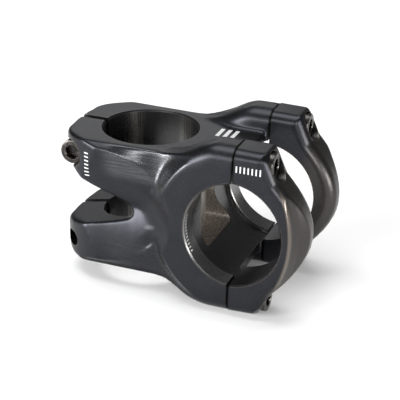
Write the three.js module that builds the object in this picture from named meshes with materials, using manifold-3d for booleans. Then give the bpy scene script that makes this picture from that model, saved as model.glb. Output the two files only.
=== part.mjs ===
// Short-reach handlebar stem for a 28.6 mm steerer and a 31.8 mm handlebar.
// Millimetres. The origin is on the steerer axis at the stem's base face, with
// +X forwards to the handlebar, +Y to the rider's left and +Z up.
import * as THREE from 'three';
import { mergeVertices } from 'three/addons/utils/BufferGeometryUtils.js';
import Module from 'manifold-3d';

// ---- driving dimensions ---------------------------------------------------
const reach = 36;              // steerer axis to handlebar axis
const stackHeight = 40;        // length of steerer that the clamp covers
const steererR = 14.3;         // bore for a 28.6 mm steerer
const barR = 15.9;             // bore for a 31.8 mm handlebar
const barZ = 20.6;             // height of the handlebar axis
const halfWidth = 23;          // half of the width across the bar clamp
const cheekInner = 9.75;       // inner face of each cheek and of each cap
const landInner = 16.4;        // inner edge of each gripping land
const reliefR = 17.1;          // relieved bore between the lands
const seamX = 34;              // parting plane between body and caps
const seamGap = 0.4;
const capShift = 2.9;          // the caps sit this far back with no bar fitted
const bossTop = 46.4;          // top and bottom of the bar clamp
const bossBottom = -5;
const deckFront = 33;          // front edge of the deck between the cheeks
const rearX = -23;             // back of the steerer clamp
const slotWidth = 2.4;
const ringR = 24.7;            // outer edge of the flat side face round the bar
const waistArc = { from: 153.6, to: 118.1 };   // degrees of that edge where the waist meets it
const coreHalf = 14;           // half width of the block that joins the cheeks
const edgeR = { cheek: 4.5, cap: 3 };   // rounding along the edges of cheeks and caps
const pocket = { wall: 17.2, back: 12, front: 26 };   // hollow between the bores, around the steerer wall
const capFacet = { x: 16.9, z: 21.2, r: 34.4, inner: 15.6 };   // hollowed bevel on a cap's outer edge
const overrun = 10;            // how far an outline runs past the plane that cuts it
const gap = 0.3;               // clearance between neighbouring pieces
const far = 80;                // further than the stem reaches in any direction

// M5 socket screws with a reduced head, and their flat washers
const bolt = { r: 2.5, headR: 3.7, headH: 4.4, hexFlats: 4, hexDepth: 2.6, bevel: 0.5 };
const washer = { r: 3.9, thick: 0.9 };
const holeR = bolt.r + gap;
const pocketR = washer.r + gap;
const capBolt = { y: 17, z: { upper: 41.5, lower: -0.4 }, seat: 38.9, length: 16, hole: 24 };
const steererBolt = { x: -19.3, z: { upper: 33.8, lower: 5.8 }, seat: 8.7, length: 20 };
const headLift = washer.thick + 2 * gap;   // washer seat to the underside of a head

const sides = { bore: 72, small: 28, curve: 10, rounding: 3 };

// ---- colours ----------------------------------------------------------------
const anodised = new THREE.MeshStandardMaterial({ color: 0x2b2d31, roughness: 0.55, metalness: 0.8 });
const capAnodised = new THREE.MeshStandardMaterial({ color: 0x2d2e31, roughness: 0.45, metalness: 0.8 });
const blackSteel = new THREE.MeshStandardMaterial({ color: 0x1c1b1a, roughness: 0.35, metalness: 0.9 });
const washerSteel = new THREE.MeshStandardMaterial({ color: 0x3a3936, roughness: 0.4, metalness: 0.9 });

// ---- solids -----------------------------------------------------------------
const wasm = await Module();
wasm.setup();

function toSolid(geometry) {
  const bare = geometry.clone();
  bare.deleteAttribute('normal');
  bare.deleteAttribute('uv');
  const merged = mergeVertices(bare, 1e-4);
  return new wasm.Manifold(new wasm.Mesh({
    numProp: 3,
    vertProperties: new Float32Array(merged.attributes.position.array),
    triVerts: new Uint32Array(merged.index.array),
  }));
}

function toMesh(name, solid, material) {
  const cut = solid.getMesh();
  const geometry = new THREE.BufferGeometry();
  geometry.setAttribute('position', new THREE.BufferAttribute(cut.vertProperties, 3));
  geometry.setIndex(new THREE.BufferAttribute(cut.triVerts, 1));
  geometry.computeVertexNormals();
  const mesh = new THREE.Mesh(geometry, material);
  mesh.name = name;
  return mesh;
}

// A side-view outline in (x, z), pushed from y0 to y1, with both rims rounded
// when a radius is given.
function alongY(shape, y0, y1, radius = 0) {
  const geometry = new THREE.ExtrudeGeometry(shape, {
    depth: y1 - y0 - 2 * radius,
    bevelEnabled: radius > 0,
    bevelThickness: radius,
    bevelSize: radius,
    bevelOffset: -radius,
    bevelSegments: sides.rounding,
    curveSegments: sides.curve,
  });
  geometry.rotateX(Math.PI / 2);
  geometry.translate(0, y1 - radius, 0);
  return toSolid(geometry);
}

// A plan outline in (x, y), pushed from z0 to z1.
function alongZ(shape, z0, z1) {
  const depth = z1 - z0;
  const curveSegments = sides.curve;
  const geometry = new THREE.ExtrudeGeometry(shape, { depth, bevelEnabled: false, curveSegments });
  geometry.translate(0, 0, z0);
  return toSolid(geometry);
}

function box(x, y, z) {
  const geometry = new THREE.BoxGeometry(x[1] - x[0], y[1] - y[0], z[1] - z[0]);
  geometry.translate((x[0] + x[1]) / 2, (y[0] + y[1]) / 2, (z[0] + z[1]) / 2);
  return toSolid(geometry);
}

// A round rod from one point to another.
function rod(from, to, radius, count = sides.small) {
  const a = new THREE.Vector3(...from);
  const b = new THREE.Vector3(...to);
  const along = b.clone().sub(a);
  const up = new THREE.Vector3(0, 1, 0);
  const geometry = new THREE.CylinderGeometry(radius, radius, along.length(), count);
  geometry.applyQuaternion(new THREE.Quaternion().setFromUnitVectors(up, along.normalize()));
  geometry.translate((a.x + b.x) / 2, (a.y + b.y) / 2, (a.z + b.z) / 2);
  return toSolid(geometry);
}

const barRod = (x, radius, half) => rod([x, -half, barZ], [x, half, barZ], radius, sides.bore);
const points = (list) => list.map(([a, b]) => new THREE.Vector2(a, b));

// ---- stem body --------------------------------------------------------------
// Side view: flat clamp faces, then bosses that swell above and below the bar.
// It runs on past the seam, which is cut afterwards.
function bodySide() {
  const s = new THREE.Shape();
  s.moveTo(rearX, 0);
  s.lineTo(11, 0);
  s.bezierCurveTo(18, -0.8, 20, -4.5, 27, bossBottom);
  s.lineTo(seamX + overrun, bossBottom);
  s.lineTo(seamX + overrun, bossTop);
  s.lineTo(27.5, bossTop);
  s.bezierCurveTo(22.5, 45.6, 20, 41.5, 11, stackHeight);
  s.lineTo(rearX, stackHeight);
  return s;
}

// What the rounded heel of the clamp leaves out below the lower band.
function heelSide() {
  const s = new THREE.Shape();
  const r = { along: 6, up: 8 };
  s.moveTo(rearX + r.along, 0);
  s.quadraticCurveTo(rearX, 0, rearX, r.up);
  s.lineTo(-far, r.up);
  s.lineTo(-far, -far);
  s.lineTo(rearX + r.along, -far);
  return s;
}

// Plan view: a squared rear, the round clamp, then the flare to the cheeks.
function bodyPlan() {
  const s = new THREE.Shape();
  s.moveTo(rearX, -8.5);
  s.splineThru(points([[-20.4, -12.8], [-16.8, -15.8], [-12, -17.5], [-5, -18], [5, -17.6]]));
  s.bezierCurveTo(9.5, -17.6, 12, -halfWidth, 18.5, -halfWidth);
  s.lineTo(far, -halfWidth);
  s.lineTo(far, halfWidth);
  s.lineTo(18.5, halfWidth);
  s.bezierCurveTo(12, halfWidth, 9.5, 17.6, 5, 17.6);
  s.splineThru(points([[-5, 18], [-12, 17.5], [-16.8, 15.8], [-20.4, 12.8], [rearX, 8.5]]));
  return s;
}

// The notch that parts the two clamp bands, open to the rear.
function notchSide() {
  const s = new THREE.Shape();
  s.moveTo(-26, 32.6);
  s.splineThru(points([[-19.5, 29.8], [-15.5, 27], [-12, 25.7], [-8.3, 23.9], [-4, 22], [-1.2, 20.3]]));
  s.bezierCurveTo(1.2, 18.8, 1.2, 17.3, -0.8, 16.8);
  s.splineThru(points([[-4.1, 15.7], [-8.4, 14.3], [-13.4, 13.1]]));
  s.lineTo(-26, 10.6);
  return s;
}

// Triangle of side wall, above or below the arms, where the waist is hollowed.
function waistSide(up) {
  const z = (value) => barZ + up * value;
  const s = new THREE.Shape();
  const onRing = (step) => {
    const share = step / sides.curve;
    const a = THREE.MathUtils.degToRad(waistArc.from + (waistArc.to - waistArc.from) * share);
    return [reach + ringR * Math.cos(a), z(ringR * Math.sin(a))];
  };
  s.moveTo(-6, z(30));
  s.lineTo(-6, z(18.4));
  s.quadraticCurveTo(6, z(15), ...onRing(0));
  for (let i = 1; i <= sides.curve; i += 1) {
    s.lineTo(...onRing(i));
  }
  s.lineTo(onRing(sides.curve)[0], z(30));
  return s;
}

// Plan view of the hollowed waist, which flares later than the arms do.
function waistPlan() {
  const s = new THREE.Shape();
  s.moveTo(-far, -17.9);
  s.lineTo(-5, -17.9);
  s.bezierCurveTo(10, -17, 14, -17, 25, -halfWidth);
  s.lineTo(25, halfWidth);
  s.bezierCurveTo(14, 17, 10, 17, -5, 17.9);
  s.lineTo(-far, 17.9);
  return s;
}

// Pocket in the wall between the two bores: wide at its head and foot, with a
// narrow waist at the level of the bar. One quarter is drawn and mirrored.
function pocketFace() {
  const quarter = new THREE.Path();
  quarter.moveTo(5.5, 0);
  quarter.bezierCurveTo(6, 2.2, 8, 5, 10, 8.4);
  quarter.bezierCurveTo(11.2, 10.6, 10.6, 11.6, 8.4, 11.6);
  const drawn = quarter.getPoints(6);
  const face = [];
  for (const [right, up] of [[1, 1], [-1, 1], [-1, -1], [1, -1]]) {
    const turn = drawn.map((p) => [right * p.x, barZ + up * p.y]);
    face.push(...(right * up > 0 ? turn : turn.reverse()));
  }
  const distinct = face.filter(([y, z], i) => i === 0 || y !== face[i - 1][0] || z !== face[i - 1][1]);
  return new THREE.Shape(points(distinct));
}

function pocketCut() {
  const depth = pocket.front - pocket.back;
  const geometry = new THREE.ExtrudeGeometry(pocketFace(), { depth, bevelEnabled: false });
  geometry.rotateX(Math.PI / 2);
  geometry.rotateZ(Math.PI / 2);
  geometry.translate(pocket.back, 0, 0);
  return toSolid(geometry).subtract(rod([0, 0, -far], [0, 0, far], pocket.wall));
}

function stemBody() {
  let body = box([rearX, deckFront], [-coreHalf, coreHalf], [0, stackHeight]);
  body = body.add(alongY(bodySide(), cheekInner, halfWidth, edgeR.cheek));
  body = body.add(alongY(bodySide(), -halfWidth, -cheekInner, edgeR.cheek));
  body = body.intersect(alongZ(bodyPlan(), -far, far));
  body = body.subtract(alongY(heelSide(), -far, far));
  const waist = alongZ(waistPlan(), -far, far);
  for (const up of [-1, 1]) {
    body = body.subtract(alongY(waistSide(up), -far, far).subtract(waist));
  }
  body = body.subtract(box([seamX - seamGap / 2, far], [-far, far], [-far, far]));
  // bores, relief and pocket
  body = body.subtract(rod([0, 0, -far], [0, 0, far], steererR, sides.bore));
  body = body.subtract(barRod(reach, barR, far));
  body = body.subtract(barRod(reach, reliefR, landInner));
  body = body.subtract(pocketCut());
  // rear notch and the slot through both bands
  body = body.subtract(alongY(notchSide(), -far, far));
  body = body.subtract(box([-far, 0], [-slotWidth / 2, slotWidth / 2], [-far, far]));
  // steerer clamp bolts, which enter from opposite sides
  for (const [level, side] of [['upper', -1], ['lower', 1]]) {
    const x = steererBolt.x;
    const z = steererBolt.z[level];
    body = body.subtract(rod([x, -far, z], [x, far, z], holeR));
    body = body.subtract(rod([x, side * steererBolt.seat, z], [x, side * far, z], pocketR));
  }
  // tapped holes for the cap bolts
  for (const side of [-1, 1]) {
    for (const z of Object.values(capBolt.z)) {
      const y = side * capBolt.y;
      body = body.subtract(rod([capBolt.hole, y, z], [far, y, z], holeR));
    }
  }
  return toMesh('stem_body', body, anodised);
}

// ---- bar clamp caps ---------------------------------------------------------
// Side view. It runs back past the seam, which is cut afterwards.
function capSide() {
  const s = new THREE.Shape();
  s.moveTo(seamX - overrun, bossBottom);
  s.lineTo(43, bossBottom + 0.8);
  s.lineTo(46.2, 3);
  s.bezierCurveTo(51.5, 8.5, 55.6, 13.5, 55.6, barZ);
  s.bezierCurveTo(55.6, 27.7, 51.5, 33, 46.7, 38.2);
  s.lineTo(43.1, bossTop - 0.4);
  s.lineTo(seamX - overrun, bossTop);
  return s;
}

// Ring that cuts the hollowed bevel down the outer front edge.
function facetRing(side) {
  const { x, z, r, inner } = capFacet;
  const hollow = [[r, halfWidth], [r + 0.8, 21.2], [r + 2, 18.9], [r + 4.4, inner]];
  const ring = [[r, halfWidth + 5], ...hollow, [far, inner], [far, halfWidth + 5], [r, halfWidth + 5]];
  const lathe = new THREE.LatheGeometry(points(ring.map(([a, b]) => [a, side * b])), sides.bore);
  if (side < 0) {
    lathe.index.array.reverse();
  }
  lathe.translate(x, 0, z);
  return toSolid(lathe);
}

function barCap(sideName, side) {
  const inner = side * cheekInner;
  const outer = side * halfWidth;
  let cap = alongY(capSide(), Math.min(inner, outer), Math.max(inner, outer), edgeR.cap);
  cap = cap.subtract(box([-far, seamX + seamGap / 2], [-far, far], [-far, far]));
  cap = cap.subtract(barRod(reach - capShift, barR, far));
  cap = cap.subtract(facetRing(side));
  for (const z of Object.values(capBolt.z)) {
    const y = side * capBolt.y;
    cap = cap.subtract(rod([0, y, z], [far, y, z], holeR));
    cap = cap.subtract(rod([capBolt.seat, y, z], [far, y, z], pocketR));
  }
  return toMesh(`${sideName}_bar_cap`, cap, capAnodised);
}

// ---- fasteners --------------------------------------------------------------
// Both stand on +Z, with z = 0 at the underside of the head.
function socketBolt(name, length) {
  const { r, headR, headH, bevel } = bolt;
  const profile = points([[0, -length], [r - bevel, -length], [r, bevel - length], [r, 0], [headR, 0],
    [headR, headH - bevel], [headR - bevel, headH], [0, headH]]);
  const lathe = new THREE.LatheGeometry(profile, sides.small);
  lathe.rotateX(Math.PI / 2);
  const hex = new THREE.CylinderGeometry(1, 1, far, 6);
  hex.scale(bolt.hexFlats / Math.sqrt(3), 1, bolt.hexFlats / Math.sqrt(3));
  hex.rotateX(Math.PI / 2);
  hex.translate(0, 0, headH - bolt.hexDepth + far / 2);
  return toMesh(name, toSolid(lathe).subtract(toSolid(hex)), blackSteel);
}

function flatWasher(name) {
  const { r, thick } = washer;
  const ring = points([[holeR, 0], [r, 0], [r, thick], [holeR, thick], [holeR, 0]]);
  const lathe = new THREE.LatheGeometry(ring, sides.small);
  lathe.rotateX(Math.PI / 2);
  return toMesh(name, toSolid(lathe), washerSteel);
}

// A bolt and its washer on a seat, with the head facing along `outward`.
function fastener(name, seat, outward, length) {
  const group = new THREE.Group();
  const screw = socketBolt(`${name}_bolt`, length);
  const ring = flatWasher(`${name}_washer`);
  screw.position.z = headLift;
  ring.position.z = gap;
  group.add(screw, ring);
  group.position.set(...seat);
  group.quaternion.setFromUnitVectors(new THREE.Vector3(0, 0, 1), new THREE.Vector3(...outward));
  return group;
}

// ---- assembly ---------------------------------------------------------------
const stem = new THREE.Group();
stem.add(stemBody());

for (const [sideName, side] of [['right', -1], ['left', 1]]) {
  stem.add(barCap(sideName, side));
  for (const [level, z] of Object.entries(capBolt.z)) {
    const seat = [capBolt.seat, side * capBolt.y, z];
    stem.add(fastener(`${sideName}_${level}_cap`, seat, [1, 0, 0], capBolt.length));
  }
}

for (const [level, side] of [['upper', -1], ['lower', 1]]) {
  const seat = [steererBolt.x, side * steererBolt.seat, steererBolt.z[level]];
  stem.add(fastener(`${level}_steerer`, seat, [0, side, 0], steererBolt.length));
}

export default stem;
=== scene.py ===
import math

import bmesh
import bpy
from mathutils import Matrix, Vector


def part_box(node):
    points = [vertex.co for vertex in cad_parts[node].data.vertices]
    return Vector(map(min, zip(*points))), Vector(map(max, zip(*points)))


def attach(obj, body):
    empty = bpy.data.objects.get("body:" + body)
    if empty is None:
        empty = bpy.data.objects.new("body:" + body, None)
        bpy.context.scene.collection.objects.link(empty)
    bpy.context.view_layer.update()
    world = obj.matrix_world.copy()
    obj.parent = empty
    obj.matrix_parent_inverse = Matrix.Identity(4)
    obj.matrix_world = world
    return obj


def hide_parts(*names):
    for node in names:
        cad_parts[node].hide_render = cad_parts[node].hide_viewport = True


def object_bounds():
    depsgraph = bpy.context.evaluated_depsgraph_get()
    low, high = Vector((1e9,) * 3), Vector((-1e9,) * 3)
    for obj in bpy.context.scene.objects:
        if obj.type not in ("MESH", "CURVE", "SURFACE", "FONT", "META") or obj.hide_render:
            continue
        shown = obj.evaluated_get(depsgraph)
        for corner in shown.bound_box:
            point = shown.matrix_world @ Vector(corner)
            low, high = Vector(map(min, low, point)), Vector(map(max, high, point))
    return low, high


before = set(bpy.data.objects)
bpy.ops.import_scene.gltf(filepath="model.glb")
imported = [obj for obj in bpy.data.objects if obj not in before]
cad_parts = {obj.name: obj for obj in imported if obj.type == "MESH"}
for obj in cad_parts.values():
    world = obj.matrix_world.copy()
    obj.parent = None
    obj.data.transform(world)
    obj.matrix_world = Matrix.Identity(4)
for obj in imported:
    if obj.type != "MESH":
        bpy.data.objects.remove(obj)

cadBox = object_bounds()
mm = 0.001   # shapes are drawn in millimetres and become metres when a piece is finished
far = 80     # longer than the part, for cutters that run right through


def boxMm(node):
    low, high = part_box(node)
    return low / mm, high / mm


bodyLow, bodyHigh = boxMm("stem_body")
capLow, capHigh = boxMm("right_bar_cap")

stem = {
    "stack": 40,                # height of the steerer clamp
    "steererR": 14.3, "steererBreak": 0.55,
    "barR": 15.9, "barBreak": 0.4,
    "bar": (36, 20.6),          # x and z of the bar bore's axis in the body
    "capBar": (33.1, 20.6),     # and in the caps
    "cheekInner": 9.75,
    "landInner": 16.4, "landBreak": 0.25, "landStep": 0.1,
    "reliefR": 17.1,
    "deckFront": 33, "coreHalf": 14,
    "ringR": 24.7,
    "slot": 2.4,
    "cheekRim": 4.6,
    "pocketWall": 17.2, "pocketBack": 12, "pocketFront": 26,
    "tappedR": 2.7, "tappedBack": 24, "tappedFlare": 4.1,
    "voxel": 0.42, "smooth": 14,
    "extraSmooth": 40, "deckShare": 0.8,
}
cap = {"rim": 3.2, "voxel": 0.36, "smooth": 5, "facet": (16.9, 21.2), "creaseR": 34.4}
seat = {"hole": 2.8, "tapped": 2.5, "tappedFrom": 9.9, "pocket": 4.2, "rim": 0.25, "sink": 0.3}
washer = {"inner": 2.8, "rim": 0.15}
half = bodyHigh.y


def curve(start, a, b, end, steps=10):
    points = []
    for i in range(1, steps + 1):
        t = i / steps
        s = 1 - t
        points.append(tuple(
            s ** 3 * p + 3 * s * s * t * q + 3 * s * t * t * r + t ** 3 * u
            for p, q, r, u in zip(start, a, b, end)))
    return points


def outline(*parts):
    # points, and lists of three points that bend to the last of them
    points = [parts[0]]
    for part in parts[1:]:
        points += curve(points[-1], *part) if isinstance(part, list) else [part]
    return points


def place(axis, a, b, along):
    return {"x": (along, a, b), "y": (a, along, b), "z": (a, b, along)}[axis]


def made(name, bm):
    bmesh.ops.recalc_face_normals(bm, faces=bm.faces)
    mesh = bpy.data.meshes.new(name)
    bm.to_mesh(mesh)
    bm.free()
    obj = bpy.data.objects.new(name, mesh)
    bpy.context.scene.collection.objects.link(obj)
    return obj


def prism(points, axis, low, high, rim=0):
    # an outline pushed along an axis, its two end faces rounded by rim
    bm = bmesh.new()
    face = bm.faces.new([bm.verts.new(place(axis, a, b, low)) for a, b in points])
    grown = bmesh.ops.extrude_face_region(bm, geom=[face])["geom"]
    top = [g for g in grown if isinstance(g, bmesh.types.BMVert)]
    bmesh.ops.translate(bm, vec=place(axis, 0, 0, high - low), verts=top)
    bmesh.ops.recalc_face_normals(bm, faces=bm.faces)
    if rim:
        n = "xyz".index(axis)
        edges = [e for e in bm.edges
                 if any(all(abs(v.co[n] - level) < 1e-4 for v in e.verts) for level in (low, high))]
        bmesh.ops.bevel(bm, geom=edges, offset=rim, segments=5, profile=0.5,
                        affect="EDGES", material=-1, clamp_overlap=True)
    return made("prism", bm)


def block(x, y, z):
    bm = bmesh.new()
    size = [b - a for a, b in (x, y, z)]
    centre = [(a + b) / 2 for a, b in (x, y, z)]
    bmesh.ops.create_cube(bm, size=1)
    bmesh.ops.scale(bm, vec=size, verts=bm.verts)
    bmesh.ops.translate(bm, vec=centre, verts=bm.verts)
    return made("block", bm)


def turned(profile, axis="z", centre=(0, 0), steps=96):
    # (radius, height) points spun about an axis; centre is where the axis stands
    bm = bmesh.new()
    verts = [bm.verts.new((r, 0, h)) for r, h in profile]
    edges = [bm.edges.new(pair) for pair in zip(verts, verts[1:])]
    bmesh.ops.spin(bm, geom=verts + edges, cent=(0, 0, 0), axis=(0, 0, 1), angle=math.tau,
                   steps=steps, use_merge=True)
    bmesh.ops.remove_doubles(bm, verts=bm.verts, dist=1e-5)
    turn = {"z": Matrix(), "y": Matrix.Rotation(-math.pi / 2, 4, "X"),
            "x": Matrix.Rotation(math.pi / 2, 4, "Y")}[axis]
    bmesh.ops.transform(bm, matrix=turn, verts=bm.verts)
    bmesh.ops.translate(bm, vec=place(axis, *centre, 0), verts=bm.verts)
    return made("turned", bm)


def settle(obj):
    # the mesh as its modifiers leave it
    bpy.context.view_layer.update()
    shown = obj.evaluated_get(bpy.context.evaluated_depsgraph_get())
    mesh = bpy.data.meshes.new_from_object(shown)
    obj.modifiers.clear()
    obj.data = mesh
    return obj


def combine(obj, operation, *tools):
    for tool in tools:
        modifier = obj.modifiers.new("combine", "BOOLEAN")
        modifier.operation = operation
        modifier.solver = "MANIFOLD"
        modifier.object = tool
    settle(obj)
    for tool in tools:
        bpy.data.objects.remove(tool)
    if not obj.data.polygons:
        raise RuntimeError("a cut left nothing of " + obj.name)
    return obj


def cut(obj, *tools):
    return combine(obj, "DIFFERENCE", *tools)


def join(obj, *tools):
    return combine(obj, "UNION", *tools)


def keep(obj, *tools):
    return combine(obj, "INTERSECT", *tools)


def forge(obj, voxel, smooth, weight=None):
    # an even skin over the drawn shape, its edges softened, and softened further where weight says
    skin = obj.modifiers.new("skin", "REMESH")
    skin.mode = "VOXEL"
    skin.voxel_size = voxel
    settle(obj)
    soften = obj.modifiers.new("soften", "SMOOTH")
    soften.factor = 0.5
    soften.iterations = smooth
    settle(obj)
    if weight:
        group = obj.vertex_groups.new(name="soft")
        for v in obj.data.vertices:
            w = weight(v.co)
            if w > 0:
                group.add([v.index], w, "REPLACE")
        more = obj.modifiers.new("more", "SMOOTH")
        more.factor = 0.5
        more.iterations = stem["extraSmooth"]
        more.vertex_group = "soft"
        settle(obj)
        obj.vertex_groups.clear()
    return obj


def finished(obj, name, node, body, material, angle=32):
    # metres, sharp edges kept sharp, and its place among the bodies
    obj.name = name
    bm = bmesh.new()
    bm.from_mesh(obj.data)
    bmesh.ops.scale(bm, vec=(mm, mm, mm), verts=bm.verts)
    bmesh.ops.remove_doubles(bm, verts=bm.verts, dist=2e-7)
    bmesh.ops.dissolve_degenerate(bm, dist=1e-7, edges=bm.edges)
    bmesh.ops.triangulate(bm, faces=[f for f in bm.faces if len(f.verts) > 4])
    bmesh.ops.recalc_face_normals(bm, faces=bm.faces)
    for face in bm.faces:
        face.smooth = True
    limit = math.radians(angle)
    for edge in bm.edges:
        edge.smooth = len(edge.link_faces) == 2 and edge.calc_face_angle(0) < limit
    bm.to_mesh(obj.data)
    bm.free()
    obj.data.name = name
    obj.data.materials.clear()
    obj.data.materials.append(material)
    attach(obj, body)
    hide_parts(node)
    print("made", name, len(obj.data.polygons), "faces")
    return obj


class Wire:
    # one socket of a node tree, for shader maths written as expressions

    def __init__(self, tree, socket):
        self.tree = tree
        self.socket = socket

    def node(self, kind, settings=None, inputs=None, out=0):
        added = self.tree.nodes.new(kind)
        for key, value in (settings or {}).items():
            setattr(added, key, value)
        for key, value in (inputs or {}).items():
            if isinstance(value, Wire):
                self.tree.links.new(value.socket, added.inputs[key])
            else:
                added.inputs[key].default_value = value
        return Wire(self.tree, added.outputs[out])

    def maths(self, operation, *values):
        return self.node("ShaderNodeMath", {"operation": operation}, dict(enumerate(values)))

    def __add__(self, other):
        return self.maths("ADD", self, other)

    def __sub__(self, other):
        return self.maths("SUBTRACT", self, other)

    def __rsub__(self, other):
        return self.maths("SUBTRACT", other, self)

    def __mul__(self, other):
        return self.maths("MULTIPLY", self, other)

    def __truediv__(self, other):
        return self.maths("DIVIDE", self, other)

    def __pow__(self, other):
        return self.maths("POWER", self, other)

    __radd__ = __add__
    __rmul__ = __mul__

    def size(self):
        return self.maths("ABSOLUTE", self)

    def rise(self, low, high):
        # 0 below low and 1 above high, eased between; low above high makes it fall
        inputs = {"Value": self, 1: low, 2: high}
        return self.node("ShaderNodeMapRange", {"interpolation_type": "SMOOTHSTEP"}, inputs)

    def within(self, low, high, soft=0.1):
        return self.rise(low - soft, low + soft) * self.rise(high + soft, high - soft)


class Finish:
    # a material, with the piece's own coordinates in millimetres as wires

    def __init__(self, name):
        self.material = bpy.data.materials.new(name)
        self.material.use_nodes = True
        self.tree = self.material.node_tree
        self.shader = self.tree.nodes["Principled BSDF"]
        start = Wire(self.tree, None)
        where = start.node("ShaderNodeTexCoord", out="Object")
        self.at = start.node("ShaderNodeVectorMath", {"operation": "SCALE"}, {0: where, "Scale": 1 / mm})
        self.start = start
        self.x, self.y, self.z = (
            start.node("ShaderNodeSeparateXYZ", None, {0: self.at}, axis) for axis in "XYZ")

    def noise(self, scale, detail=3, roughness=0.55, stretch=(1, 1, 1)):
        # scale is in features to the millimetre
        at = self.start.node("ShaderNodeVectorMath", {"operation": "MULTIPLY"}, {0: self.at, 1: stretch})
        return self.start.node("ShaderNodeTexNoise", None,
                               {"Vector": at, "Scale": scale, "Detail": detail, "Roughness": roughness})

    def radius(self, a, b, centre):
        return ((a - centre[0]) ** 2 + (b - centre[1]) ** 2) ** 0.5

    def mix(self, share, a, b):
        inputs = {"Factor": share, 6: a, 7: b}
        return self.start.node("ShaderNodeMix", {"data_type": "RGBA"}, inputs, 2)

    def edges(self, radius):
        # 1 along sharp machined edges
        bevel = self.start.node("ShaderNodeBevel", {"samples": 6}, {"Radius": radius * mm})
        normal = self.start.node("ShaderNodeNewGeometry", out="Normal")
        same = self.start.node("ShaderNodeVectorMath", {"operation": "DOT_PRODUCT"},
                               {0: bevel, 1: normal}, "Value")
        return (1 - same).rise(0.015, 0.12)

    def bump(self, height, strength, depth):
        inputs = {"Height": height, "Strength": strength, "Distance": depth * mm}
        return self.start.node("ShaderNodeBump", None, inputs)

    def set(self, **values):
        for key, value in values.items():
            socket = self.shader.inputs[key.replace("_", " ")]
            if isinstance(value, Wire):
                self.tree.links.new(value.socket, socket)
            else:
                socket.default_value = value
        return self.material


anodise = {
    "grey": (0.0245, 0.0252, 0.0292, 1),
    # light: fine speckle in the grain, and the painted highlight across the waist
    "light": (0.085, 0.086, 0.091, 1),
    # valley: painted shade for the fold between the upper arm and the ring
    "valley": (0.012, 0.012, 0.013, 1),
    # painted highlight on the lower arm's shoulder
    "shoulderHighlight": (0.15, 0.152, 0.16, 1),
    # land: painted highlight on the bar bore's lands
    "land": (0.19, 0.19, 0.19, 1),
    # painted highlight along sharp edges
    "edgeHighlight": (0.30, 0.255, 0.21, 1),
    # grain: the hollow's rough grain, painted light enough to stand in for light falling into it
    "grain": (0.55, 0.50, 0.45, 1),
    "bore": (0.065, 0.065, 0.067, 1),
    # sheen: painted reflection in the steerer bore
    "sheen": (0.42, 0.40, 0.36, 1),
    "mark": (0.60, 0.60, 0.60, 1),
    # dark: black print ticks, and painted shade on the seam faces
    "dark": (0.010, 0.010, 0.010, 1),
    # nose: painted highlight on the front of the caps
    "nose": (0.085, 0.077, 0.068, 1),
    "metal": 0.92,
    "roughness": 0.32,
    "capRoughness": 0.30,
}
oiledSteel = {
    "dark": (0.045, 0.043, 0.041, 1),
    "bright": (0.11, 0.10, 0.09, 1),
    # rim: painted highlight along sharp edges
    "rim": (0.50, 0.45, 0.38, 1),
    "roughness": 0.20,
}
rubbedSteel = {
    "dark": (0.06, 0.058, 0.055, 1),
    "bright": (0.12, 0.115, 0.105, 1),
    # rim: painted highlight along sharp edges
    "rim": (0.45, 0.42, 0.37, 1),
    "roughness": 0.30,
}

# rows of plain ticks: where a row starts, its level across, how many, how far apart, how wide and how long
marks = {
    "cap": (35.2, 41.2, 7, 1.15, 0.40, 1.9),
    "band": (28.9, -12.7, 7, 1.2, 0.40, 1.5),
    "deck": (20.6, 4.2, 3, 2.3, 1.2, 6.2),
    "land": (12.8, -21.3, 12, 1.0, 0.34, 1.3),
    "shoulder": (-7.6, 16.6, 8, 1.4, 0.6, 2.2),
}


def ticks(along, across, start, level, count, step, width, length):
    row = along.within(start - step / 2, start + step * (count - 0.5), 0.02)
    cell = (along - start) / step + 0.5
    cell = cell.maths("FRACT", cell) - 0.5
    stroke = (cell * step).size().rise(width / 2 + 0.05, width / 2 - 0.05)
    tall = (across - level).size().rise(length / 2 + 0.05, length / 2 - 0.05)
    return row * stroke * tall


def shade(colour, share):
    return tuple(c * share for c in colour[:3]) + (1,)


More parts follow.
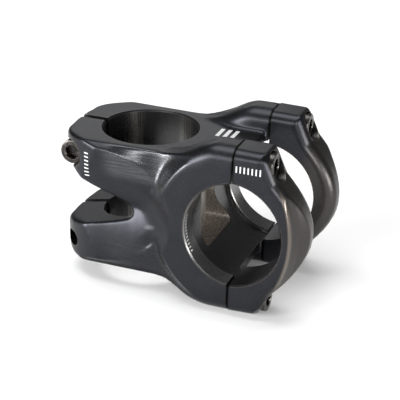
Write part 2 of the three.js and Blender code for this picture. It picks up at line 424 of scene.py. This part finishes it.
def blastedFinish():
    f = Finish("blasted black anodise")
    side = f.y.size()
    toBar = f.radius(f.x, f.z, stem["bar"])
    toSteerer = f.radius(f.x, f.y, (0, 0))
    height = (f.z - stem["bar"][1]).size()
    fine = f.noise(2.4, 3, 0.65)
    cloudy = f.noise(0.12, 2, 0.5)
    # the front face at the seam, for painted shade in the gap to the caps
    seam = f.x.rise(bodyHigh.x - 0.34, bodyHigh.x - 0.24)
    # sharp edges away from the seam face, for a painted edge highlight
    edge = f.edges(0.35) * f.x.rise(bodyHigh.x - 0.4, bodyHigh.x - 0.8)

    # hand-finished lines across the waist, over a painted highlight that is lighter towards the top
    waist = height.rise(8, 12) * height.rise(19.6, 18.8) * f.x.within(-6, 24, 3) * side.rise(14, 15.5)
    waist = waist * toBar.rise(24.2, 25.2)
    streaks = f.noise(1.0, 4, 0.6, (0.10, 0.10, 2.6))
    lines = f.noise(1.0, 2, 0.5, (0.02, 0.02, 1.5))

    # painted shade in the fold where the upper arm rolls into the ring, and a painted highlight on the lower
    # arm's shoulder
    fold = (f.x - 5.5) * 0.72 + (f.z - 27.8) * 0.69
    valley = fold.within(0.6, 3.8, 1.5) * f.z.within(18, 27, 2.5)
    valley = valley * toBar.rise(20.2, 21.4) * side.rise(14, 15)
    shoulder = f.radius(f.x * 0.42, f.z - f.x * 0.25, (3.3, 14.3)).rise(1.1, 0.2) * side.rise(15, 16)

    # bores: fine turning, and soft upright bands of painted reflection in the steerer bore
    steererBore = toSteerer.rise(14.5, 14.35)
    barBore = toBar.rise(17.3, 17.2) * side.rise(23, 22.9)
    turning = f.noise(1.0, 2, 0.5, (0.02, 0.02, 5))
    boreReflection = f.x.within(-11, -8, 1.6) + f.x.within(4.5, 8.5, 2) * 0.4
    boreReflection = steererBore * boreReflection * f.noise(1.0, 2, 0.5, (2.2, 2.2, 0.05)).rise(0.3, 0.6)

    # the unmachined hollow between the bores: real rough grain, painted much lighter as painted light falling
    # into it
    hollow = toBar.rise(17.25, 17.4) * toSteerer.rise(14.6, 14.8) * f.x.within(13, 26, 0.1)
    hollow = hollow * side.rise(11.2, 11) * height.rise(11.9, 11.7)

    white = (ticks(f.z, f.x, *marks["band"]) * f.y.rise(-15.5, -16)
             + ticks(f.x, f.y, *marks["deck"]) * f.z.rise(38, 38.5)
             + ticks(f.z, f.y, *marks["land"]) * toBar.rise(16.15, 16.05) * f.x.rise(30, 29))
    diagonal = 1.414
    black = ticks((f.x - f.y) / diagonal, (f.x + f.y) / diagonal, *marks["shoulder"]) * f.z.rise(38.5, 39)

    colour = f.mix(cloudy.rise(0.3, 0.7), anodise["grey"], shade(anodise["grey"], 1.14))
    # the waist painted lighter, more so above the bar's level: a painted highlight, with real machining
    # streaks in it
    upper = f.z.rise(20, 24) * 0.75 + 0.25
    colour = f.mix(waist * upper * (0.35 + streaks.rise(0.35, 0.65) * 0.65), colour, anodise["light"])
    # painted shade in the fold
    colour = f.mix(valley * 0.8, colour, anodise["valley"])
    # painted highlight on the lower arm's shoulder, where it faces up to the light
    colour = f.mix(shoulder * 0.4, colour, anodise["shoulderHighlight"])
    colour = f.mix(steererBore + barBore, colour, anodise["bore"])
    # the lands painted lighter than the rest of the bore: a painted highlight where they catch light
    colour = f.mix(barBore * toBar.rise(16.2, 16.1), colour, anodise["land"])
    # painted reflection bands down the steerer bore
    colour = f.mix(boreReflection * 0.7, colour, anodise["sheen"])
    # rough grain in the hollow, with a painted pool of light
    colour = f.mix(hollow * (0.35 + fine.rise(0.42, 0.60) * 0.65), colour, anodise["grain"])
    colour = f.mix(fine.rise(0.56, 0.72) * 0.3, colour, anodise["light"])
    # painted highlight along the sharp edges
    colour = f.mix(edge * 0.75, colour, anodise["edgeHighlight"])
    colour = f.mix(white, colour, anodise["mark"])
    # black ticks, and painted shade on the seam face
    colour = f.mix(black * 0.8 + seam, colour, anodise["dark"])

    rough = anodise["roughness"] + cloudy * 0.05 - waist * 0.08 - (steererBore + barBore) * 0.06
    rough = rough + hollow * 0.14 - edge * 0.10 + (fine - 0.5) * 0.12
    grain = fine * (1 - waist * 0.6) * (1 - steererBore * 0.8) * (1 + hollow * 3)
    relief = grain * 0.5 + streaks * waist * 0.8 + lines * waist * 0.9
    relief = relief + turning * (steererBore + barBore) * 0.3
    return f.set(Base_Color=colour, Metallic=anodise["metal"] - white * 0.9, Roughness=rough,
                 Normal=f.bump(relief, 0.5, 0.06))


def capFinish():
    f = Finish("satin black anodise")
    fine = f.noise(2.4, 3, 0.65)
    cloudy = f.noise(0.15, 2, 0.5)
    side = f.y.size()
    # the front of the cap, for a painted highlight
    nose = f.x.rise(43, 49) * side.rise(22.9, 21.5)
    # the rear face at the seam, for painted shade in the gap to the body
    seam = f.x.rise(capLow.x + 0.34, capLow.x + 0.24)
    # sharp edges away from the seam face, for a painted edge highlight
    edge = f.edges(0.35) * f.x.rise(capLow.x + 0.4, capLow.x + 0.8)
    # a painted highlight line along the crease of the hollowed bevel, added to the edge highlight
    crease = f.radius(f.x, f.z, cap["facet"]).within(cap["creaseR"] - 0.2, cap["creaseR"] + 0.5, 0.35)
    edge = edge + crease * side.rise(21.2, 22.2) * f.x.rise(44, 46) * 0.55
    white = ticks(f.x, f.z, *marks["cap"]) * f.y.rise(-22.3, -22.5)
    colour = f.mix(cloudy.rise(0.3, 0.7), anodise["grey"], shade(anodise["grey"], 1.1))
    # the cap's front painted lighter and browner: a painted highlight
    colour = f.mix(nose * 0.5, colour, anodise["nose"])
    colour = f.mix(fine.rise(0.56, 0.72) * 0.35, colour, anodise["light"])
    # painted highlight along the sharp edges and the crease
    colour = f.mix(edge * 0.8, colour, anodise["edgeHighlight"])
    colour = f.mix(white, colour, anodise["mark"])
    # painted shade on the seam face
    colour = f.mix(seam, colour, anodise["dark"])
    rough = anodise["capRoughness"] + cloudy * 0.06 - edge * 0.08 + (fine - 0.5) * 0.1
    return f.set(Base_Color=colour, Metallic=anodise["metal"] - white * 0.9, Roughness=rough,
                 Normal=f.bump(fine, 0.35, 0.025))


def steelFinish(name, dark, bright, rim, roughness):
    f = Finish(name)
    fine = f.noise(3.5, 3, 0.6)
    wear = f.noise(0.9, 3, 0.6)
    edge = f.edges(0.22)
    colour = f.mix(wear.rise(0.45, 0.7) * 0.6, dark, bright)
    # painted highlight along the sharp edges
    colour = f.mix(edge * 0.8, colour, rim)
    rough = roughness + fine * 0.10 + wear * 0.06
    return f.set(Base_Color=colour, Metallic=1, Roughness=rough, Normal=f.bump(fine, 0.2, 0.015))


blasted = blastedFinish()
satin = capFinish()
blackSteel = steelFinish("oiled black steel", **oiledSteel)
wornSteel = steelFinish("worn black steel", **rubbedSteel)
print("finishes ready")


def bodySide():
    rear, front, low, high = bodyLow.x, stem["deckFront"] + 6, bodyLow.z, bodyHigh.z
    return outline((rear, 0), (11, 0), [(18, -0.8), (20, low + 0.5), (27, low)], (front, low),
                   (front, high), (27.5, high), [(22.5, high - 0.8), (20, 41.5), (11, stem["stack"])],
                   (rear, stem["stack"]))


def bodyPlan():
    rear = bodyLow.x
    near = outline((rear, -7.4), [(rear, -9.8), (-22.2, -12.4), (-19.2, -15)],
                   [(-16.4, -17.4), (-11.5, -19.3), (-7.5, -19.8)], (4, -half), (far, -half))
    return near + [(x, -y) for x, y in reversed(near)]


def heelSide():
    # what is cut away behind the rounded lower rear edge
    rear, start, end = bodyLow.x, bodyLow.x + 6, 8
    return outline((start, 0), [(rear + 2, 0), (rear, 3), (rear, end)], (-far, end), (-far, -far),
                   (start, -far))


def notchSide():
    # the deep notch in the rear, seen from the side
    return outline((-27, 33), (-19.5, 29.8), [(-17, 27.6), (-14, 26.4), (-8.3, 23.9)],
                   [(-5.5, 22.9), (-3.6, 22.2), (-1.8, 21.4)], [(2.4, 19.6), (2.2, 17.2), (-1.4, 16.2)],
                   [(-4, 15.4), (-8, 14.2), (-13.4, 13.1)], (-27, 10.4))


def ease(value, low, high):
    t = min(1, max(0, (value - low) / (high - low)))
    return t * t * (3 - 2 * t)


def blended(a, b, reach):
    # the larger of two heights, with a fillet where they cross
    share = max(0, reach - abs(a - b)) / reach
    return max(a, b) + share * share * reach / 4


flank = {
    "ridge": 19.4,           # half width along the crossing arms' ridges
    "top": 17.5,             # half width at the top and bottom faces
    "under": 0.014,          # how fast an arm curves in below its ridge
    # the line where an arm starts to roll over, and how fast it rolls
    "noseX": 5.5, "noseZ": 7.2, "noseAlong": 0.78, "noseUp": 0.62, "roll": 0.055,
    "waistReach": 19.4, "waistFall": 0.5,
    "flare": 5.4, "flareX": (7, 27), "flareBend": 1.25, "flareLow": 0.35,
    # the ring's face: its edge at the bar's level, how far it stands out and how steeply it falls
    "ringEdge": 20.6, "ringProud": 0.4, "ringFall": 0.62, "ringExtra": 0.5,
    "creaseFillet": 0.3, "ringFillet": 0.9,
    "grid": 0.45, "across": 62, "tall": 64, "middle": 6, "depth": 8,
}
# how far above and below the bar's level the crease runs, along the body
creaseLine = [(-30, 18.6), (-13, 18.4), (-6.8, 17.8), (-3, 17), (1.1, 15.8), (4.5, 13.9), (7.4, 11.4),
              (12, 7.4), (30, -8)]


def levelAt(line, x):
    for (x0, z0), (x1, z1) in zip(line, line[1:]):
        if x <= x1:
            return z0 + (z1 - z0) * (x - x0) / (x1 - x0)
    return line[-1][1]


def flankHeight(x, z):
    # half width of the body at a point of its side view, the same above and below the bar's level
    f = flank
    up = abs(z - stem["bar"][1])
    crease = levelAt(creaseLine, x)
    toBar = math.hypot(x - stem["bar"][0], z - stem["bar"][1])
    ringEdge = f["ringEdge"] + (stem["ringR"] - f["ringEdge"]) * ease(up, 3, 11)
    fall = f["ringFall"] + f["ringExtra"] * ease(up, 5, 11)
    ring = half + f["ringProud"] - fall * max(0, toBar - ringEdge + f["ringProud"])
    past = max(0, (x - f["noseX"]) * f["noseAlong"] + (up - f["noseZ"]) * f["noseUp"])
    below = max(0, crease - up)
    arm = f["ridge"] - f["under"] * below * below - f["roll"] * past * past
    flare = f["flare"] * ease(x, *f["flareX"]) ** f["flareBend"]
    top = f["top"] + flare
    share = min(1, max(0, (up - crease) / max(1, f["waistReach"] - crease)))
    waist = (f["ridge"] + f["flareLow"] * flare) * (1 - share) + top * share
    if up < crease:
        waist = blended(arm, waist - f["waistFall"] * below, f["creaseFillet"])
    return blended(waist, ring, f["ringFillet"])


def flankCutter(side):
    bm = bmesh.new()
    across, tall = flank["across"], flank["tall"]
    bmesh.ops.create_grid(bm, x_segments=int(across / flank["grid"]),
                          y_segments=int(tall / flank["grid"]), size=0.5)
    for v in bm.verts:
        x, z = flank["middle"] + v.co.x * across, stem["bar"][1] + v.co.y * tall
        v.co = (x, side * flankHeight(x, z), z)
    grown = bmesh.ops.extrude_face_region(bm, geom=bm.faces[:])["geom"]
    for v in [g for g in grown if isinstance(g, bmesh.types.BMVert)]:
        v.co.y = side * (half + flank["depth"])
    return made("flank", bm)


def pocketCutter():
    # the hollow between the bores, waisted at the level of the bar, around the steerer's wall
    level = stem["bar"][1]
    quarter = outline((5.5, 0), [(6, 2.2), (8, 5), (10, 8.4)], [(11.2, 10.6), (10.6, 11.6), (8.4, 11.6)])
    upper = quarter + [(-y, z) for y, z in reversed(quarter)]
    face = [(y, level + z) for y, z in upper] + [(y, level - z) for y, z in reversed(upper)]
    wall = stem["pocketWall"]
    hollow = prism(face, "x", stem["pocketBack"], stem["pocketFront"])
    return cut(hollow, turned([(0, -far), (wall, -far), (wall, far), (0, far)]))


def barCutter(centre, relief=True):
    # the bar's bore with broken ends, wider between its two lands where there is a relief
    r, c, b = stem["barR"], stem["barBreak"], stem["landBreak"]
    inner = stem["landInner"]
    near = [(0, -far), (r + far - half + c, -far), (r, -half + c)]
    if relief:
        near += [(r, -inner - b), (r + b, -inner), (stem["reliefR"], -inner + stem["landStep"])]
    profile = near + [(radius, -level) for radius, level in reversed(near)]
    return turned(profile, "y", centre, 160)


def steererCutter():
    r, c, top = stem["steererR"], stem["steererBreak"], stem["stack"]
    over = 3
    profile = [(0, -over), (r + over + c, -over), (r, c), (r, top - c), (r + over + c, top + over),
               (0, top + over)]
    return turned(profile, steps=160)


def axisAt(node, axis):
    # where a piece's own axis stands, in the two directions across it
    low, high = boxMm(node)
    centre = (low + high) / 2
    return [centre[i] for i in range(3) if i != "xyz".index(axis)]


def boltCutter(screwNode, washerNode, outward, axis):
    # tapped hole, clearance hole and counterbore for one screw
    low, high = boxMm(washerNode)
    n = "xyz".index(axis)
    level = (low[n] - seat["sink"]) if outward > 0 else (high[n] + seat["sink"])
    hole, tapped, pocket, rim, start = (seat[k] for k in ("hole", "tapped", "pocket", "rim", "tappedFrom"))
    profile = [(0, -far), (tapped, -far), (tapped, -start), (hole, -start), (hole, 0), (pocket - rim, 0),
               (pocket, rim), (pocket, far), (0, far)]
    profile = [(r, outward * h + level) for r, h in profile]
    return turned(profile, axis, axisAt(screwNode, axis), 64)


def softened(co):
    # the rear corners and the deck between the cheeks are rounder than the rest
    rear = ease(-co.x, 13, 18) * ease(abs(co.y), 3, 8)
    deck = ease(co.x, 12, 20) * (1 - ease(abs(co.y), 11.5, 15))
    deck = deck * ease(abs(co.z - stem["bar"][1]), 17, 19)
    return max(rear, stem["deckShare"] * deck)


def stemBody():
    s = stem
    body = block((bodyLow.x, s["deckFront"]), (-s["coreHalf"], s["coreHalf"]), (0, s["stack"]))
    for side in (-1, 1):
        ys = sorted((side * s["cheekInner"], side * half))
        join(body, prism(bodySide(), "y", *ys, rim=s["cheekRim"]))
    keep(body, prism(bodyPlan(), "z", -far, far))
    cut(body, prism(heelSide(), "y", -far, far), prism(notchSide(), "y", -far, far))
    cut(body, flankCutter(-1), flankCutter(1))
    forge(body, s["voxel"], s["smooth"], softened)
    print("body forged with", len(body.data.polygons), "faces")
    cut(body, block((bodyHigh.x, far), (-far, far), (-far, far)))
    cut(body, barCutter(s["bar"]), steererCutter())
    cut(body, pocketCutter())
    cut(body, block((-far, 0), (-s["slot"] / 2, s["slot"] / 2), (-far, far)))
    cut(body, boltCutter("upper_steerer_bolt", "upper_steerer_washer", -1, "y"),
        boltCutter("lower_steerer_bolt", "lower_steerer_washer", 1, "y"))
    r, back, end = s["tappedR"], s["tappedBack"], bodyHigh.x
    profile = [(0, back), (r, back), (r, end - 0.4), (s["tappedFlare"], end + 1), (0, end + 1)]
    for sideName in ("right", "left"):
        for level in ("upper", "lower"):
            cut(body, turned(profile, "x", axisAt(f"{sideName}_{level}_cap_bolt", "x"), 48))
    return finished(body, "stemBody", "stem_body", "stem", blasted)


def capSide():
    low, high, nose = bodyLow.z, bodyHigh.z, capHigh.x
    return outline((22, low), (43, low + 0.8), (46.2, 3), [(51.5, 8.5), (nose, 13.5), (nose, 20.6)],
                   [(nose, 27.7), (51.5, 33), (46.7, 38.2)], (43.1, high - 0.4), (22, high))


def facetCutter(side):
    # hollowed bevel down the outer front edge
    r = cap["creaseR"]
    inner, outer, hair = 15.6, half + 6, 0.01
    arc = [(r, half + hair), (r + 0.75, 21.2), (r + 2.0, 18.9), (r + 4.4, inner)]
    profile = [(hair + r, outer)] + arc + [(far, inner), (far, outer), (hair + r, outer)]
    return turned([(a, side * b) for a, b in profile], "y", cap["facet"], 128)


def barCap(sideName, side):
    ys = sorted((side * stem["cheekInner"], side * half))
    piece = prism(capSide(), "y", *ys, rim=cap["rim"])
    cut(piece, facetCutter(side))
    forge(piece, cap["voxel"], cap["smooth"])
    cut(piece, block((-far, capLow.x), (-far, far), (-far, far)))
    cut(piece, barCutter(stem["capBar"], False))
    for level in ("upper", "lower"):
        node = f"{sideName}_{level}_cap_"
        cut(piece, boltCutter(node + "bolt", node + "washer", 1, "x"))
    return finished(piece, sideName + "BarCap", sideName + "_bar_cap", sideName + "_cap",
                    satin)


screw = {
    "pitch": 0.8, "r": 2.45, "root": 2.02,
    "crest": (0, 0.1), "valley": (0.5, 0.6),     # shares of the pitch
    "headR": 3.7, "headH": 4.4, "headEdge": 0.45,
    "neck": 2.5, "neckLow": 1.2,
    "flats": 4.0, "deep": 2.7, "socketTurn": 14, "drillR": 1.6,
}


def threadedShank(length):
    # one turn of a zigzag profile that climbs by the pitch, so the thread is a true helix
    bm = bmesh.new()
    p = screw["pitch"]
    points = []
    for i in range(-2, int(length / p) + 2):
        for radius, shares in ((screw["r"], screw["crest"]), (screw["root"], screw["valley"])):
            points += [(radius, -i * p - share * p) for share in shares]
    verts = [bm.verts.new((r, 0, z)) for r, z in points]
    edges = [bm.edges.new(pair) for pair in zip(verts, verts[1:])]
    steps = 32
    bmesh.ops.spin(bm, geom=verts + edges, cent=(0, 0, 0), axis=(0, 0, 1), dvec=(0, 0, p / steps),
                   angle=math.tau, steps=steps, use_merge=False)
    bmesh.ops.remove_doubles(bm, verts=bm.verts, dist=1e-3)
    for z, up in ((0.02, 1), (-length, -1)):
        geom = bm.verts[:] + bm.edges[:] + bm.faces[:]
        bmesh.ops.bisect_plane(bm, geom=geom, plane_co=(0, 0, z), plane_no=(0, 0, up), clear_outer=True)
    bmesh.ops.holes_fill(bm, edges=[e for e in bm.edges if e.is_boundary])
    bmesh.ops.remove_doubles(bm, verts=bm.verts, dist=1e-5)
    return made("shank", bm)


def camel(node):
    words = node.split("_")
    return words[0] + "".join(w.capitalize() for w in words[1:])


def socketScrew(node, length, outward, axis, body):
    low, high = boxMm(node)
    n = "xyz".index(axis)
    r, h, e = screw["headR"], screw["headH"], screw["headEdge"]
    neck, under = screw["neck"], -screw["neckLow"]
    head = turned([(0, under), (neck, under), (neck, -0.3), (neck + 0.25, 0), (r - 0.2, 0), (r, 0.2),
                   (r, h - e), (r - 0.13, h - 0.13), (r - e, h), (0, h)], steps=64)
    bm = bmesh.new()
    corner = screw["flats"] / math.sqrt(3)
    bmesh.ops.create_cone(bm, cap_ends=True, segments=6, radius1=corner, radius2=corner,
                          depth=2 * screw["deep"])
    bmesh.ops.rotate(bm, matrix=Matrix.Rotation(math.radians(screw["socketTurn"]), 3, "Z"), verts=bm.verts)
    bmesh.ops.translate(bm, vec=(0, 0, h), verts=bm.verts)
    socket = made("socket", bm)
    flat, floor = screw["flats"] / 2, h - screw["deep"]
    lead = turned([(0, h - 0.35), (flat - 0.05, h - 0.35), (flat + 0.6, h + 0.3), (0, h + 0.3)], steps=48)
    drill = turned([(0, floor - 0.6), (screw["drillR"], floor + 0.02), (0, floor + 0.02)], steps=24)
    cut(head, socket, lead, drill)

    # the thread ends in a plain cone
    shank = threadedShank(length)
    tipR, wide = screw["root"] - 0.2, 3.2
    keep(shank, turned([(0, -length - 1), (tipR, -length - 1), (tipR, -length), (wide, -length + 1.6),
                        (wide, 1), (0, 1)], steps=32))
    join(shank, head)
    turn = Vector(place(axis, 0, 0, outward)).to_track_quat("Z", "Y").to_matrix().to_4x4()
    base = (low + high) / 2
    base[n] = (high[n] - h) if outward > 0 else (low[n] + h)
    shank.data.transform(Matrix.Translation(base) @ turn)
    return finished(shank, camel(node), node, body, blackSteel, 28)


def flatWasher(node, axis, body):
    low, high = boxMm(node)
    n = "xyz".index(axis)
    outer = (high[(n + 1) % 3] - low[(n + 1) % 3]) / 2
    inner, e = washer["inner"], washer["rim"]
    a, b = low[n], high[n]
    profile = [(inner, a + e), (inner + e, a), (outer - e, a), (outer, a + e), (outer, b - e), (outer - e, b),
               (inner + e, b), (inner, b - e), (inner, a + e)]
    piece = turned(profile, axis, axisAt(node, axis), 64)
    return finished(piece, camel(node), node, body, wornSteel, 28)


stemBody()
print("stem body done")
for sideName, side in (("right", -1), ("left", 1)):
    barCap(sideName, side)
    for level in ("upper", "lower"):
        node = f"{sideName}_{level}_cap_"
        socketScrew(node + "bolt", 16, 1, "x", f"{sideName}_{level}_screw")
        flatWasher(node + "washer", "x", sideName + "_cap")
for level, side in (("upper", -1), ("lower", 1)):
    socketScrew(level + "_steerer_bolt", 20, side, "y", level + "_clamp_screw")
    flatWasher(level + "_steerer_washer", "y", level + "_clamp_washer")
print("caps, screws and washers done")


studio = {
    "floor": 4.0, "floorGap": 0.0002,
    "floorColour": (0.93, 0.93, 0.93, 1), "floorRoughness": 0.9, "floorShine": 0.1,
    "world": 0.13,
    "azimuth": 20.29,
    "elevation": 24.67,
    "roll": 1.69,
    "distance": 364.89,
    "target": (16.35, 0, 18.78),
    "lens": 108.3, "sensor": 36,
}
# place and size in metres, and power in watts; each looks at the target
lamps = {
    "overhead": ((-0.1, 0.1, 0.95), (0.9, 0.5), 7.5),
    "front": ((-0.33, -0.84, 0.42), (0.7, 0.2), 4.2),
    "left": ((-0.70, -0.66, 0.20), (0.4, 0.36), 11),
    "back": ((-0.42, 0.8, 0.42), (0.5, 0.25), 0.6),
    "nose": ((0.92, -0.3, 0.14), (0.5, 0.24), 6),
    "fill": ((0.5, -0.85, 0.36), (0.25, 0.25), 4),
}


def floorPiece():
    bm = bmesh.new()
    bmesh.ops.create_grid(bm, x_segments=1, y_segments=1, size=studio["floor"] / 2)
    bmesh.ops.translate(bm, vec=(0, 0, cadBox[0].z - studio["floorGap"]), verts=bm.verts)
    floor = made("floor", bm)
    material = bpy.data.materials.new("pale floor")
    material.use_nodes = True
    shader = material.node_tree.nodes["Principled BSDF"]
    shader.inputs["Base Color"].default_value = studio["floorColour"]
    shader.inputs["Roughness"].default_value = studio["floorRoughness"]
    shader.inputs["Specular IOR Level"].default_value = studio["floorShine"]
    floor.data.materials.append(material)


def lamp(name, where, aim, size, power):
    light = bpy.data.lights.new(name, "AREA")
    light.shape = "RECTANGLE"
    light.size, light.size_y = size
    light.energy = power
    obj = bpy.data.objects.new(name, light)
    obj.location = where
    obj.visible_camera = False
    obj.rotation_euler = (Vector(aim) - Vector(where)).to_track_quat("-Z", "Y").to_euler()
    bpy.context.scene.collection.objects.link(obj)


def studioScene():
    scene = bpy.context.scene
    world = bpy.data.worlds.new("studio")
    world.use_nodes = True
    world.node_tree.nodes["Background"].inputs["Color"].default_value = (1, 1, 1, 1)
    world.node_tree.nodes["Background"].inputs["Strength"].default_value = studio["world"]
    scene.world = world
    scene.view_settings.view_transform = "Standard"
    aim = Vector(studio["target"]) * mm
    for name, (where, size, power) in lamps.items():
        lamp(name, where, aim, size, power)
    azimuth, elevation, roll = (math.radians(studio[k]) for k in ("azimuth", "elevation", "roll"))
    back = Vector((math.sin(azimuth) * math.cos(elevation), -math.cos(azimuth) * math.cos(elevation),
                   math.sin(elevation)))
    data = bpy.data.cameras.new("camera")
    data.lens = studio["lens"]
    data.sensor_width = studio["sensor"]
    data.clip_start, data.clip_end = 0.01, 20
    camera = bpy.data.objects.new("camera", data)
    turn = (-back).to_track_quat("-Z", "Y").to_matrix().to_4x4() @ Matrix.Rotation(roll, 4, "Z")
    camera.matrix_world = Matrix.Translation(aim + back * studio["distance"] * mm) @ turn
    scene.collection.objects.link(camera)
    scene.camera = camera


floorPiece()
studioScene()
print("studio done")
